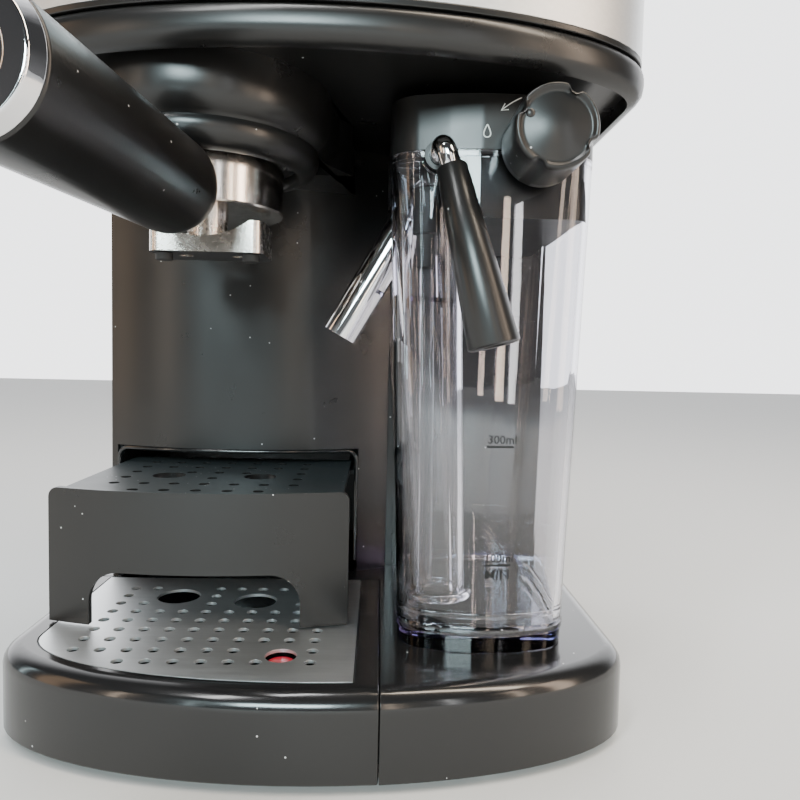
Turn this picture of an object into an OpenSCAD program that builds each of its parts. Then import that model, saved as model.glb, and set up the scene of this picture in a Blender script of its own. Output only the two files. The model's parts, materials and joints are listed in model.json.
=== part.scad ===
// Pump coffee machine with a pull-out cup tray and a plug-in milk frother.
// X runs to the right seen from the front, Y to the back, Z up.
// The origin is on the underside of the base, in the middle of its outline.

/* [Base] */
// Width of the base
base_w = 230; // [226:1:234]
// Depth of the machine without the handle
base_d = 222; // [220:1:226]
// Height of the base, from its underside to its top
base_h = 30.5; // [30:0.5:31]
// Depth of the curved nose of the base
nose_d = 46; // [44:1:48]
// Radius of the upper edge of the base
edge_r = 7; // [5:0.5:8]
// Height of the rubber feet
foot_h = 3; // [2:0.5:5]

/* [Head] */
// How far the head's rim stands out past the base
rim_out = 3; // [2:0.5:4]
// How much narrower than the base the head is on each side
head_in = 3.5; // [2.5:0.5:4]
// Underside of the head's rim
rim_z = 228.5; // [228:0.5:229]
// Height of the head's rim
rim_h = 12; // [11:0.5:13]
// Top of the steel fascia
fascia_z = 297; // [292:1:300]
// Top of the machine
top_z = 317; // [312:1:322]

/* [Group and portafilter] */
// Sideways place of the brewing group
group_x = -45.5; // [-47:0.5:-44]
// Front to back place of the brewing group
group_y = -51; // [-53:0.5:-50]
// Outer radius of the portafilter's bowl
bowl_r = 28.5; // [28:0.25:29]
// Length from the group's axis to the end of the handle
handle_l = 137; // [130:1:160]
// How far the handle points to the left
handle_turn = 6.5; // [0:0.5:10]

/* [Cup tray] */
// Height of the cup tray's platform
platform_z = 83; // [80:0.5:85]
// How far the cup tray pushes in
cup_travel = 62; // [50:1:63]

/* [Milk frother] */
// Top of the milk tank
milk_z = 209; // [207:0.5:210]
// Wall of the milk tank
milk_wall = 2.2; // [1.8:0.1:2.6]
// Radius of the froth knob
knob_r = 13.6; // [12:0.1:15]

/* [Water tank] */
// Underside of the water tank
tank_z = 100; // [98:1:110]
// Wall of the water tank
tank_wall = 2.5; // [2:0.1:3]

/* [Hidden] */

$fn = 64;
shell = 2.5;                     // wall of the plastic casings
gap = 0.3;                       // clearance between moving pieces
play = 0.06;                     // clearance of a running fit
thin = 0.3;                      // thickness of a slice inside a hull
edge_steps = 4;
nose_steps = 36;
corner_steps = 6;
corner_r = 18;
half_w = base_w / 2;
rear_y = base_d / 2;
nose_y = nose_d - base_d / 2;    // where the curved nose meets the straight sides
far = 400;

// base and drip tray
tray_x = 23.5;                   // seam between the drip tray and the fixed platform
tray_y = 5;                      // back of the wide part of the drip tray
tongue = [-98, 10, 36];          // left, right and back of the tray's narrow rear part
pan_t = 2.2;                     // top of the bottom pan
pad_t = 0.4;                     // height of the round pad in the middle of the pan's underside
pan_screws = [[108.2, -20], [108.2, 60], [60, -97.5], [-108.2, 60]];
cover_screws = [[-98, 120], [-98, 222], [98, 38], [98, 222]];
grid_x = 14.5;
grid_t = 1.2;
grid_in = 10;                    // how far the grid lies inside the base's outline
hole_pitch = 9.44;
hole_r = 2.1;
finger_holes = [[-64, -22, 9], [-30, -27, 9]];
float_at = [-11.6, -82.2];
float_r = 5;

// column
face_r = 150;                    // radius of the column's curved front
face_y = 5.5;                    // foremost point of that front
column_l = -108;
column_r = 107;
bay_x = 26;                      // left side of the milk frother's bay
bay_y = 28;                      // back of that bay
plate_z = 234;                   // underside of the head's floor
recess = [-104.7, 12, 99, 91.5];    // left, right, back and top of the cup tray's recess
platform = [-101.5, 8, -60, 36];    // left, right, front and back of the cup platform
panel_r = 189;                   // radius of the cup tray's front panel
panel_y = -63;                   // foremost point of the panel
panel_x = [-105.6, 10.6];
arch_x = [-88.4, -7.6];
arch_z = 52.6;
niche_x = 90;                    // half width of the water tank's niche
niche_y = 60;                    // front of that niche

inlet = [24, 44];                // x and z of the cord inlet
outlet = [50, 86];               // x and y of the water tank's outlet

// group
bowl_z = 189.5;
bowl_top = 217;
lug_z = 212.4;
lip_z = 204.5;
rim_t = 5.5;                     // thickness of the head's rim
shroud_r = 46.5;
group_in = 33.5;
group_out = 36.5;
handle_z = 189.4;                // height of the handle's line at the bowl's axis
handle_off = 4.2;                // how far that line passes beside the axis
handle_rise = 1.4;               // its upward slope in degrees
handle_skew = 1.5;               // its turn beyond the bowl lugs in degrees
dome_x = 45;                     // centre and radius of the dome at the handle's inner end
dome_r = 15.7;
spout_at = [2, 0];               // how far the spout box lies from the bowl's axis
saddle_z = 209.9;                // centre of the round cradle cut through the spout box

// milk frother
pivot_x = 40.5;                  // axis of the milk lever and its spout
pivot_z = 206.5;
axle_r = 3.5;
grip_top = [43.8, -88, 200.6];
grip_end = [59, -94, 141];
knob_x = 74.9;
knob_z = 209.4;
lid_top = 228;
milk_y = [-79.5, 25];
milk_high = [24, 98];            // left and right of the milk tank at its rim
milk_low = [30, 92];             // the same at its foot
milk_floor = 38;
milk_bulge = 3.5;
tower = [37.2, -64.5, 12.8];     // top of the suction tube's tower: x, y and radius
tower_foot = [45.3, -60, 10.3];
tower_z = 45.5;
spout_room_z = 160;              // floor of the hollow behind the tower that the spout swings in
spout_wall = 51;
spout_front = -52;
spout_back = 26;
spout_y = -44;
spout_r = 7.1;

// water tank
lid_z = 310.2;                   // underside of the tank's lid
hinge_y = 106.3;
hinge_z = 313.7;
pin_r = 1.2;

// ---- shared outlines and shapes ----

function arc(cx, cy, rx, ry, a0, a1, n) = [for (i = [0:n]) let (a = a0 + (a1 - a0) * i / n)
    [cx + rx * cos(a), cy + ry * sin(a)]];

// Outline of the base, grown by g on the front and sides and narrowed by n; the back only shrinks.
function footprint(g, n = 0) = let (w = half_w + g - n, back = rear_y + min(g, 0)) concat(
    arc(0, nose_y, w, nose_d + g, 180, 360, nose_steps),
    arc(w - corner_r, back - corner_r, corner_r, corner_r, 0, 90, corner_steps),
    arc(corner_r - w, back - corner_r, corner_r, corner_r, 90, 180, corner_steps));

// Outline of the column, shrunk by s all round.
function column_outline(s) = let (r = face_r - s, cy = face_y + face_r,
        a0 = asin((column_l + s - group_x) / r), a1 = asin((bay_x - s - group_x) / r)) concat(
    [for (i = [0:24]) let (a = a0 + (a1 - a0) * i / 24) [group_x + r * sin(a), cy - r * cos(a)]],
    [[bay_x - s, bay_y + s], [column_r - 2 - s, bay_y + s], [column_r - s, rear_y - 3 - s],
     [column_l + s, rear_y - 3 - s]]);

module slab(g, z0, z1, n = 0) translate([0, 0, z0]) linear_extrude(z1 - z0) polygon(footprint(g, n));

module box(x0, x1, y0, y1, z0, z1) translate([x0, y0, z0]) cube([x1 - x0, y1 - y0, z1 - z0]);

module rod_y(x, z, y0, y1, r) translate([x, y0, z]) rotate([-90, 0, 0]) cylinder(r = r, h = y1 - y0);

module disc(x, y, z0, z1, r) translate([x, y, z0]) cylinder(r = r, h = z1 - z0);

module ring(x, y, z0, z1, r_out, r_in) difference() {
    disc(x, y, z0, z1, r_out);
    disc(x, y, z0 - 1, z1 + 1, r_in);
}

// The base's outline between two heights, with a rounded upper edge and, if bottom > 0, a lower one.
module rounded_slab(g, z0, z1, top, bottom, n = 0) hull() {
    for (i = [0:edge_steps]) let (a = 90 * i / edge_steps, z = z1 - top + top * sin(a))
        slab(g - top * (1 - cos(a)), z - thin, z, n);
    if (bottom > 0) for (i = [0:edge_steps]) let (a = 90 * i / edge_steps, z = z0 + bottom * (1 - sin(a)))
        slab(g - bottom * (1 - cos(a)), z, z + thin, n);
    else slab(g, z0, z0 + thin, n);
}

// A flat rectangle with round corners.
module round_rect(x0, x1, y0, y1, r) hull() for (x = [x0 + r, x1 - r], y = [y0 + r, y1 - r])
    translate([x, y]) circle(r = r, $fn = 32);

// The same without a hull, for solids that stay exact.
module true_round_rect(x0, x1, y0, y1, r) union() {
    translate([x0 + r, y0]) square([x1 - x0 - 2 * r, y1 - y0]);
    translate([x0, y0 + r]) square([x1 - x0, y1 - y0 - 2 * r]);
    for (x = [x0 + r, x1 - r], y = [y0 + r, y1 - r]) translate([x, y]) circle(r = r);
}

// A straight round bar between two points.
module bar(p, q, r0, r1) let (d = q - p, l = norm(d))
    translate(p) rotate([0, acos(d[2] / l), atan2(d[1], d[0])]) cylinder(r1 = r0, r2 = r1, h = l);

// Puts its children at the portafilter's axis with +X pointing along the handle.
module along_handle() translate([group_x, group_y, 0]) rotate([0, 0, -90 - handle_turn]) children();

// Puts its children on the handle's own line, which runs along +Z.
module on_handle() along_handle() rotate([0, 0, -handle_skew]) translate([0, handle_off, handle_z])
    rotate([0, 90 - handle_rise, 0]) children();

// ---- base ----

module feet() color("dimgray") for (x = [-80, 80], y = [-70, 88]) translate([x, y, -foot_h])
    cylinder(r1 = 8, r2 = 9, h = foot_h + pad_t);

module bay_room(z0, z1) union() {
    box(-far, tray_x, -far, tray_y, z0, z1);
    box(tongue[0] - 0.5, tongue[1] + 0.5, -far, tongue[2] + 0.5, z0, z1);
}

module base_pan() color("#1c1c1e") difference() {
    union() {
        slab(-12, pad_t, pan_t);
        intersection() {
            slab(-3.2, pad_t, pan_t);
            union() {
                box(tray_x + 3, far, -far, far, 0, far);
                box(-far, far, tray_y + 3, far, 0, far);
            }
        }
        disc(0, 0, 0, pad_t + 0.1, 20);
    }
    for (p = pan_screws) disc(p[0], p[1], -1, pan_t + 1, 2.2);
}

module base_deck() color("#1a1a1c") difference() {
    union() {
        difference() {
            rounded_slab(0, 0.4, base_h, edge_r, 0);
            difference() {
                slab(-shell, -1, base_h - 3.5);
                box(tray_x, tray_x + shell, -far, tray_y + shell, pan_t, base_h);
                box(-far, tray_x + shell, tray_y, tray_y + shell, pan_t, base_h);
            }
            bay_room(-1, base_h + 1);
            translate([0, 0, base_h - 4.5]) linear_extrude(5.5) polygon(column_outline(shell + 3));
        }
        for (p = pan_screws) disc(p[0], p[1], pan_t, base_h - 3, 4.8);
    }
    for (p = pan_screws) disc(p[0], p[1], 0, 14, 1.6);
}

module grid_outline(s) difference() {
    polygon(concat(arc(0, nose_y, half_w - grid_in - 2.5 - s, nose_d - 8.5 - s, 180, 360, nose_steps),
        [[half_w, tray_y - 2 - s], [grid_in + 2.5 + s - half_w, tray_y - 2 - s]]));
    translate([grid_x - s, -far]) square(2 * far);
}

module drip_tray() color("#19191b") difference() {
    union() {
        intersection() {
            rounded_slab(0, 0.4, base_h, edge_r, 0);
            box(-far, tray_x - gap, -far, tray_y - gap, -1, base_h + 1);
        }
        box(tongue[0], tongue[1], -20, tongue[2], pan_t + 0.4, 24);
    }
    translate([0, 0, base_h - grid_t]) linear_extrude(grid_t + 1) grid_outline(-0.15);
    translate([0, 0, pan_t + 2.4]) linear_extrude(base_h) grid_outline(3);
    box(tongue[0] + 2, tongue[1] - 2, -20, tongue[2] - 2, pan_t + 2.4, base_h);
    difference() {
        slab(-shell, -1, base_h - 4);
        box(tray_x - 3, far, -far, far, pan_t + 0.4, base_h);
        box(-far, far, tray_y - 3, far, pan_t + 0.4, base_h);
        translate([0, 0, pan_t + 0.4]) linear_extrude(base_h) grid_outline(0.8);
    }
}

function blocked(x, y, spots, room) =
    len([for (s = spots) if (norm([x - s[0], y - s[1]]) < s[2] + room) 1]) > 0;

function in_grid(x, y) = x > 7 - half_w + grid_in && x < grid_x - 4 && y > nose_y - (nose_d - 14)
    * sqrt(max(0, 1 - pow(x / (half_w - grid_in - 8), 2)));

module drip_grid() color("#b9babd") difference() {
    translate([0, 0, base_h - grid_t]) linear_extrude(grid_t) grid_outline(0);
    for (s = finger_holes) disc(s[0], s[1], 0, far, s[2]);
    disc(float_at[0], float_at[1], 0, far, float_r + 0.6);
    for (k = [0:9], j = [-3:5]) let (x = -85.8 + hole_pitch * k, y = -40.5 - hole_pitch * j)
        if (in_grid(x, y) && !blocked(x, y, concat(finger_holes, [concat(float_at, 5.6)]), 3.5))
            disc(x, y, 0, far, hole_r);
}

module drip_float() color("#d81f3c") union() {
    disc(float_at[0], float_at[1], base_h - 4, base_h - 2.4, float_r);
    disc(float_at[0], float_at[1], 12, base_h - 4, 1.8);
    disc(float_at[0], float_at[1], 6, 12, 7);
}

// ---- column ----

module column_shell() color("#1b1b1e") difference() {
    union() {
        translate([0, 0, base_h]) linear_extrude(plate_z - base_h) difference() {
            polygon(column_outline(0));
            polygon(column_outline(shell));
        }
        box(-105.6, -93, rear_y - 15, rear_y - 6, 110, 232);
        box(93, column_r - 2.4, rear_y - 15, rear_y - 6, base_h, 232);
    }
    box(recess[0], recess[1], -far, 60, 0, recess[3]);
    box(-far, far, rear_y - 6, far, 0, far);
    box(-niche_x - 2, niche_x + 2, niche_y - 2, far, tank_z - 2, far);
    rod_y(pivot_x, pivot_z, bay_y - 1, bay_y + 9, 9);
    for (p = cover_screws) rod_y(p[0], p[1], 80, far, 1.4);
}

module rear_cover() color("#1d1d20") difference() {
    union() {
        box(column_l + shell + 0.1, column_r - shell - 1, rear_y - 6, rear_y - 3, base_h, tank_z - 2);
        box(column_l + shell + 0.1, -niche_x - 2, rear_y - 6, rear_y - 3, tank_z - 3, 233);
        box(niche_x + 2, column_r - shell - 1, rear_y - 6, rear_y - 3, tank_z - 3, 233);
    }
    for (i = [0:7]) box(-84 + i * 9, -80 + i * 9, 0, far, 52, 84);
    box(60 - 10.4, 60 + 10.4, 0, far, 58 - 7.4, 58 + 7.4);
    rod_y(inlet[0], inlet[1], 0, far, 6.5);
    for (p = cover_screws) rod_y(p[0], p[1], 0, far, 1.6);
}

module cup_recess() color("#151517") intersection() {
    difference() {
        union() {
            difference() {
                box(recess[0] - 0.6, recess[1] + 2, 0, recess[2] + 2, base_h, recess[3] + 2);
                box(recess[0] + 1.4, recess[1], -1, recess[2], 0, recess[3]);
            }
            for (x = [[recess[0] + 1.4, platform[0] + 2], [platform[1] - 2, recess[1]]])
                box(x[0], x[1], 22, recess[2], platform_z - 5.3, platform_z - 2.8);
        }
        box(tongue[0] - 0.5, tongue[1] + 0.5, -far, tongue[2] + 0.5, 0, base_h + 0.1);
    }
    translate([0, 0, base_h]) linear_extrude(far) polygon(column_outline(shell + 0.05));
}

module tank_niche() color("#202023") difference() {
    box(-niche_x - 1.8, niche_x + 1.8, niche_y - 1.8, rear_y - 6.2, tank_z - 2, plate_z - 0.2);
    box(-niche_x, niche_x, niche_y, far, tank_z, far);
    disc(outlet[0], outlet[1], 0, far, 6);
}

// ---- cup tray ----

module tray_panel_profile() difference() {
    union() {
        true_round_rect(panel_x[0], panel_x[1], base_h + 1, platform_z + 1, 4);
        translate([panel_x[0], base_h + 1]) square([panel_x[1] - panel_x[0], 20]);
    }
    true_round_rect(arch_x[0], arch_x[1], 0, arch_z, 12);
}

module cup_tray() color("#17171a") union() {
    intersection() {
        translate([0, 60, 0]) rotate([90, 0, 0]) linear_extrude(160) tray_panel_profile();
        ring(group_x, panel_y + panel_r, 0, 120, panel_r, panel_r - 3);
        box(-120, 30, -70, -40, 0, 120);
    }
    difference() {
        union() {
            box(platform[0], platform[1], -50, platform[3], platform_z - 2.5, platform_z);
            intersection() {
                box(platform[0], platform[1], -70, -49, platform_z - 2.5, platform_z);
                disc(group_x, panel_y + panel_r, 0, 120, panel_r - 2);
            }
            for (x = [platform[0] + 2.6, platform[1] - 4.6]) box(x, x + 2, -50, platform[3], 74, platform_z);
        }
        for (j = [0:6], k = [-3:3]) let (x = -49.6 + 12.2 * k, y = -51.5 + 14 * j)
            if ((abs(k) < 3 || (j > 0 && j < 6)) && !blocked(x, y, [[-69.5, -18.5, 7], [-30, -18, 7]], 3.5))
                disc(x, y, 0, far, 2.2);
        for (x = [-69.5, -30]) disc(x, -18, 0, far, 7);
    }
}

// ---- brewing group ----

module group_shroud() color("#1a1a1d") difference() {
    union() {
        translate([group_x, group_y, 0]) rotate_extrude() polygon(concat([[20, lip_z], [35, lip_z]],
            arc(35, lip_z + 7, 7, 7, -90, 0, 8), [[42, 214], [20, 214]]));
        hull() {
            translate([group_x, group_y, 213]) cylinder(r1 = 42, r2 = 45.7, h = 5, $fn = 64);
            disc(group_x, group_y, 219, plate_z, shroud_r, $fn = 64);
            box(-96, 9, 10, 22, 213, plate_z);
        }
    }
    translate([0, 0, 200]) linear_extrude(60) polygon(column_outline(0));
    disc(group_x, group_y, 209, far, group_out + 0.1);
    disc(group_x, group_y, 0, 210, group_in);
}

module group_head() color("#8e9094") difference() {
    union() {
        disc(group_x, group_y, 209.2, 238, group_out);
        disc(group_x, group_y, 236.7, 240, 40);
    }
    disc(group_x, group_y, 0, 227, 30.2);
    disc(group_x, group_y, lug_z - 0.2, 227, group_in);
    for (a = [0, 180]) translate([group_x, group_y, 0]) rotate([0, 0, a - 90 - handle_turn - 42])
        intersection() {
            disc(0, 0, 0, lug_z, group_in);
            rotate([0, 0, -24]) cube([60, 60, lug_z]);
            rotate([0, 0, -66]) cube([60, 60, lug_z]);
        }
    disc(group_x, group_y, 0, far, 4);
}

module group_gasket() color("#7a1f1a") ring(group_x, group_y, bowl_top + 1.6, 226.8, 30, 25.4);

module shower_screen() color("#c9cacc") difference() {
    union() {
        disc(group_x, group_y, 220, 221, 25);
        ring(group_x, group_y, 221, 226.8, 25, 23.8);
    }
    for (n = [1:4], i = [0:6 * n - 1]) let (a = 60 * i / n)
        disc(group_x + 5 * n * cos(a), group_y + 5 * n * sin(a), 0, far, 0.9, $fn = 16);
    disc(group_x, group_y, 0, far, 2.1);
}

module screen_screw() color("#d6d7d9") union() {
    translate([group_x, group_y, 217.6]) cylinder(r1 = 3, r2 = 4.2, h = 2.4);
    disc(group_x, group_y, 220, 238, 2);
}

module portafilter_bowl() color("#d9dadd") difference() {
    union() {
        disc(group_x, group_y, bowl_z + 0.6, bowl_top, bowl_r);
        translate([group_x, group_y, bowl_z]) cylinder(r1 = bowl_r - 0.6, r2 = bowl_r, h = 0.6);
        disc(group_x, group_y, 210, bowl_top, 29.8);
        for (a = [0, 180]) along_handle() rotate([0, 0, a]) intersection() {
            ring(0, 0, lug_z, lug_z + 4, 33, 20);
            rotate([0, 0, -20]) box(0, 60, 0, 60, 0, far);
            rotate([0, 0, 20]) box(0, 60, -60, 0, 0, far);
        }
        disc(group_x, group_y, 187, bowl_z, 8);
        on_handle() translate([0, 0, 22]) cylinder(r = 6.5, h = 6.6);
    }
    disc(group_x, group_y, bowl_z + 3, far, 26.6);
    disc(group_x, group_y, 180, far, 4);
    on_handle() translate([0, 0, 24]) cylinder(r = 3.5, h = 20);
}

module filter_basket() color("#cfd0d2") difference() {
    union() {
        disc(group_x, group_y, bowl_z + 5, bowl_top, 26.3);
        disc(group_x, group_y, bowl_top, bowl_top + 1, 29.6);
    }
    disc(group_x, group_y, bowl_z + 5.8, far, 25.5);
}

module handle_rod() color("#c4c5c8") on_handle() translate([0, 0, 26.7]) cylinder(r = 3.45, h = 60);

module basket_clip() color("#101012") along_handle() union() {
    box(28.6, 34, -4.5, 4.5, 202, 203.8);
    box(28.6, 31, -4.5, 4.5, 199.8, 203.8);
}

module portafilter_handle() color("#1a1a1c") on_handle() difference() {
    union() {
        intersection() {
            translate([0, 0, dome_x]) sphere(r = dome_r);
            translate([0, 0, dome_x - dome_r]) cylinder(r = 20, h = dome_r);
        }
        translate([0, 0, dome_x]) cylinder(r1 = dome_r, r2 = 16.7, h = handle_l - 4 - dome_x);
    }
    translate([0, 0, 25]) cylinder(r = 3.5, h = 62);
}

module handle_cap() color("#d9dadd") on_handle() translate([0, 0, handle_l - 4]) difference() {
    cylinder(r1 = 16.7, r2 = 14.7, h = 4);
    translate([0, 0, 1.5]) cylinder(r = 9.5, h = 4);
}

module spout_box() color("#d3d4d7") translate([group_x, group_y, 0]) difference() {
    union() {
        difference() {
            translate([spout_at[0], spout_at[1], 173.8]) linear_extrude(11.7)
                true_round_rect(-21, 21, -13, 13, 4);
            translate([spout_at[0], spout_at[1], 177]) linear_extrude(20)
                true_round_rect(-18.6, 18.6, -10.6, 10.6, 2.4);
            translate([0, -30, saddle_z]) rotate([-90, 0, 0]) cylinder(r = 30.4, h = 60);
        }
        disc(0, 0, 175.5, 187, 7.4);
        box(-12, 16, -4, 4, 175.5, 181.5);
    }
    disc(0, 0, 178.5, 200, 4);
    for (x = [-8, 12]) {
        disc(x, 0, 170, 179, 2.6);
        translate([0, 0, 178.7]) rotate([0, x > 0 ? 90 : -90, 0]) cylinder(r = 2, h = abs(x));
    }
}

module spout_feet() color("#141414") for (x = [-16, 16])
    disc(group_x + spout_at[0] + x, group_y - 8, 170.8, 173.8, 3.15);

// ---- head ----

module head_base() color("#161618") difference() {
    rounded_slab(rim_out, rim_z, rim_z + rim_h, 4, 5.5, head_in);
    slab(rim_out - rim_t, 0, plate_z, head_in);
    slab(rim_out - rim_t, plate_z + 2.5, far, head_in);
    difference() {
        translate([0, 0, 230]) linear_extrude(60) polygon(column_outline(shell + 4));
        box(-200, 200, -200, 24, 200, 300);
    }
    translate([0, 0, 200]) linear_extrude(plate_z - 200) polygon(column_outline(-0.1));
    box(-niche_x - 2, niche_x + 2, niche_y - 2, far, 0, far);
    disc(group_x, group_y, 0, far, group_out + 0.2);
}

module wrap(g0, g1, z0, z1, back) intersection() {
    difference() {
        slab(g0, z0, z1, head_in);
        slab(g1, z0 - 1, z1 + 1, head_in);
    }
    box(-far, far, -far, back, z0, z1);
}

module pill(x, z, half_len, r) translate([0, -90, 0]) rotate([90, 0, 0]) linear_extrude(60) hull()
    for (s = [-1, 1]) translate([x + s * half_len, z]) circle(r = r);

module head_shell() color("#17171a") difference() {
    slab(2, rim_z + rim_h, fascia_z, head_in);
    slab(2 - 1.3 - shell, 0, far, head_in);
    wrap(3, 2 - 1.3, rim_z + rim_h + 2, fascia_z - 2, -36);
    box(-niche_x - 2, niche_x + 2, niche_y - 2, far, 0, far);
    pill(0, 268, 29, 12.6);
}

module fascia() color("#bfc1c4") difference() {
    wrap(1.95, 0.75, rim_z + rim_h + 2.05, fascia_z - 2.05, -39.5);
    pill(0, 268, 29, 12.6);
}

module fascia_trim() color("#0f0f10") intersection() {
    wrap(2, 0.75, rim_z + rim_h + 2.05, fascia_z - 2.05, -36.1);
    box(-far, far, -39.4, far, 0, far);
}

module button_bezel() color("#0e0e10") difference() {
    intersection() {
        pill(0, 268, 29, 12.5);
        difference() {
            slab(2.6, 200, 300, head_in);
            slab(-3, 199, 301, head_in);
        }
    }
    for (x = [-27, 0, 27]) rod_y(x, 268, -150, -80, 9.1);
}

module one_button(x) color("#c8c9cc") union() {
    rod_y(x, 268, -114.2 + abs(x) * 0.08, -104, 8.8);
    rod_y(x, 268, -104, -100, 4);
}
module button_left() one_button(-27);
module button_middle() one_button(0);
module button_right() one_button(27);

module button_boards() color("#1f5b34") difference() {
    box(-44, 44, -94, -92.4, 250, 286);
    for (x = [-40, 40], z = [254, 282]) rod_y(x, z, -95, -90, 1.6);
}

module control_board() color("#1e5a33") union() {
    box(52, 100, -30, 40, 246, 247.6);
    box(56, 70, -20, 2, 247.6, 263);
    box(60, 84, 8, 28, 247.6, 266);
}

module top_cover() color("#1b1b1e") difference() {
    rounded_slab(2, fascia_z, top_z, 11.5, 0, head_in);
    slab(-0.5, fascia_z - 1, fascia_z + 9, head_in);
    slab(-5, fascia_z - 1, top_z - 3, head_in);
    translate([0, 0, top_z - 1.5]) linear_extrude(5) true_round_rect(-84, 84, -84, 44, 20);
    box(-niche_x - 0.6, niche_x + 0.6, niche_y - 2, far, 0, far);
    for (i = [0:6], s = [-1, 1]) box(s * 60 - 6, s * 60 + 6, -60 + 14 * i, -56 + 14 * i, 300, far);
}

// ---- switch and cord inlet ----

module switch_bezel() color("#0f0f10") difference() {
    union() {
        box(60 - 12, 60 + 12, rear_y - 3, rear_y - 1.6, 58 - 9, 58 + 9);
        box(60 - 10.3, 60 + 10.3, rear_y - 16, rear_y - 3, 58 - 7.3, 58 + 7.3);
    }
    box(60 - 8.8, 60 + 8.8, rear_y - 13, far, 58 - 6, 58 + 6);
}

module power_switch() color("#262628") translate([60, rear_y - 4, 58]) difference() {
    rotate([0, 90, 0]) translate([0, 0, -8.5]) linear_extrude(17)
        polygon([[-5.4, 1.2], [-5.2, 2.6], [0, 1.4], [5.2, 1.2], [5.2, -1.6],
            [2, -6], [-2, -6], [-5.2, -1.6]]);
    rotate([0, 90, 0]) cylinder(r = 1, h = 40, center = true);
}

module cord_inlet() color("#131314") difference() {
    union() {
        rod_y(inlet[0], inlet[1], rear_y - 3, rear_y, 9);
        rod_y(inlet[0], inlet[1], rear_y - 9, rear_y - 3, 6.4);
    }
    rod_y(inlet[0], inlet[1], 80, far, 3.6);
}

// ---- inside the casing ----

module pump() color("#b8b9bb") union() {
    translate([36, 70, 62]) rotate([0, 90, 0]) cylinder(r = 9, h = 62);
    box(44, 84, 50, 90, 42, 82);
    translate([28, 70, 62]) rotate([0, 90, 0]) cylinder(r = 4, h = 8);
}

module pump_mounts() color("#1e1e1e") for (x = [40, 90]) difference() {
    box(x - 3, x + 3, 54, 86, pan_t, 72);
    translate([x - 4, 70, 62]) rotate([0, 90, 0]) cylinder(r = 9.05, h = 8);
}

module boiler() color("#a6a8ab") difference() {
    union() {
        disc(group_x, group_y, 240, 274, 36);
        disc(group_x, group_y, 274, 282, 32);
        for (a = [45:90:315]) disc(group_x + 36 * cos(a), group_y + 36 * sin(a), 240, 248, 6);
    }
    disc(group_x, group_y, 244, 270, 28);
}

module boiler_element() color("#8a4b2a") translate([group_x, group_y, 257]) rotate_extrude()
    translate([20, 0]) circle(r = 3.6);

module steam_valve() color("#2d2d2f") union() {
    box(10, 34, -28, -4, 240, 262);
    disc(22, -16, 262, 270, 5);
}

module pipe(points, r) for (i = [0:len(points) - 2]) union() {
    bar(points[i], points[i + 1], r, r, $fn = 24);
    if (i > 0) translate(points[i]) sphere(r = 1.12 * r, $fn = 24);
}

module brew_hose() color("#d8d8d0") pipe([[22, 70, 62], [22, 50, 62], [22, 50, 262],
    [-25.1, -20.4, 262]], 2.6);

module steam_hose() color("#d8d8d0") pipe([[34.1, -16, 250], [40.5, -16, 250], [40.5, 46, 248],
    [40.5, 50, pivot_z], [40.5, 41.2, pivot_z]], 2.4);

module tank_hose() color("#d8d8d0") pipe([[outlet[0], outlet[1], tank_z - 8.1], [outlet[0], 91, 86],
    [101.2, 91, 86],
    [101.2, 70, 62], [98.1, 70, 62]], 2);

module steam_socket() color("#2a2a2c") difference() {
    union() {
        rod_y(pivot_x, pivot_z, bay_y + 0.2, bay_y + 13, 8.8);
        rod_y(pivot_x, pivot_z, bay_y + shell + 0.1, bay_y + 6, 13);
    }
    rod_y(pivot_x, pivot_z, 0, bay_y + 11, 4.6);
}

module casing_screws() color("#9a9b9e") union() {
    for (p = cover_screws) {
        rod_y(p[0], p[1], rear_y - 14, rear_y - 3, 1.35);
        rod_y(p[0], p[1], rear_y - 3, rear_y - 1.2, 3.4);
    }
    for (p = pan_screws) {
        disc(p[0], p[1], -1.2, pad_t, 3.6);
        disc(p[0], p[1], pad_t, 13, 1.55);
    }
}

// ---- milk frother ----

// Outline of the milk tank, shrunk by s: a bulging front with large corners and a straight back.
module milk_outline(x0, x1, y0, y1, s) hull() {
    for (t = [-1, -0.6, -0.2, 0.2, 0.6, 1])
        translate([(x0 + x1) / 2 + t * ((x1 - x0) / 2 - 13), y0 + 13 + milk_bulge * t * t])
            circle(r = 13 - s, $fn = 48);
    for (x = [x0 + 6, x1 - 6]) translate([x, y1 - 6]) circle(r = 6 - s, $fn = 32);
}

module milk_block(s, z0, z1) hull() {
    translate([0, 0, z0]) linear_extrude(thin)
        milk_outline(milk_low[0], milk_low[1], milk_y[0], milk_y[1], s);
    translate([0, 0, z1 - thin]) linear_extrude(thin)
        milk_outline(milk_high[0], milk_high[1], milk_y[0], milk_y[1], s);
}

module tower_block(s, z1) hull() {
    translate([tower_foot[0], tower_foot[1], tower_z]) cylinder(r = tower_foot[2] - s, h = thin, $fn = 40);
    translate([tower[0], tower[1], z1 - thin]) cylinder(r = tower[2] - s, h = thin, $fn = 40);
}

module spout_room(s, z) box(-far, spout_wall + s, spout_front - s, spout_back + s, z - s, far);

module milk_tank() color([0.8, 0.85, 0.95, 0.4]) difference() {
    union() {
        difference() {
            milk_block(0, base_h + gap, milk_z);
            difference() {
                milk_block(milk_wall, milk_floor, milk_z + 1);
                spout_room(milk_wall, spout_room_z);
            }
            spout_room(0, spout_room_z);
        }
        difference() {
            tower_block(0, milk_z - 4);
            tower_block(milk_wall - 0.4, milk_z - 3.9);
            spout_room(0, spout_room_z);
            box(0, 60, -53, -40, 0, far);
        }
    }
    rod_y(knob_x, knob_z, -90, -70, 9.4);
    rod_y(pivot_x, pivot_z, -90, -40, 5.6);
}

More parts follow.
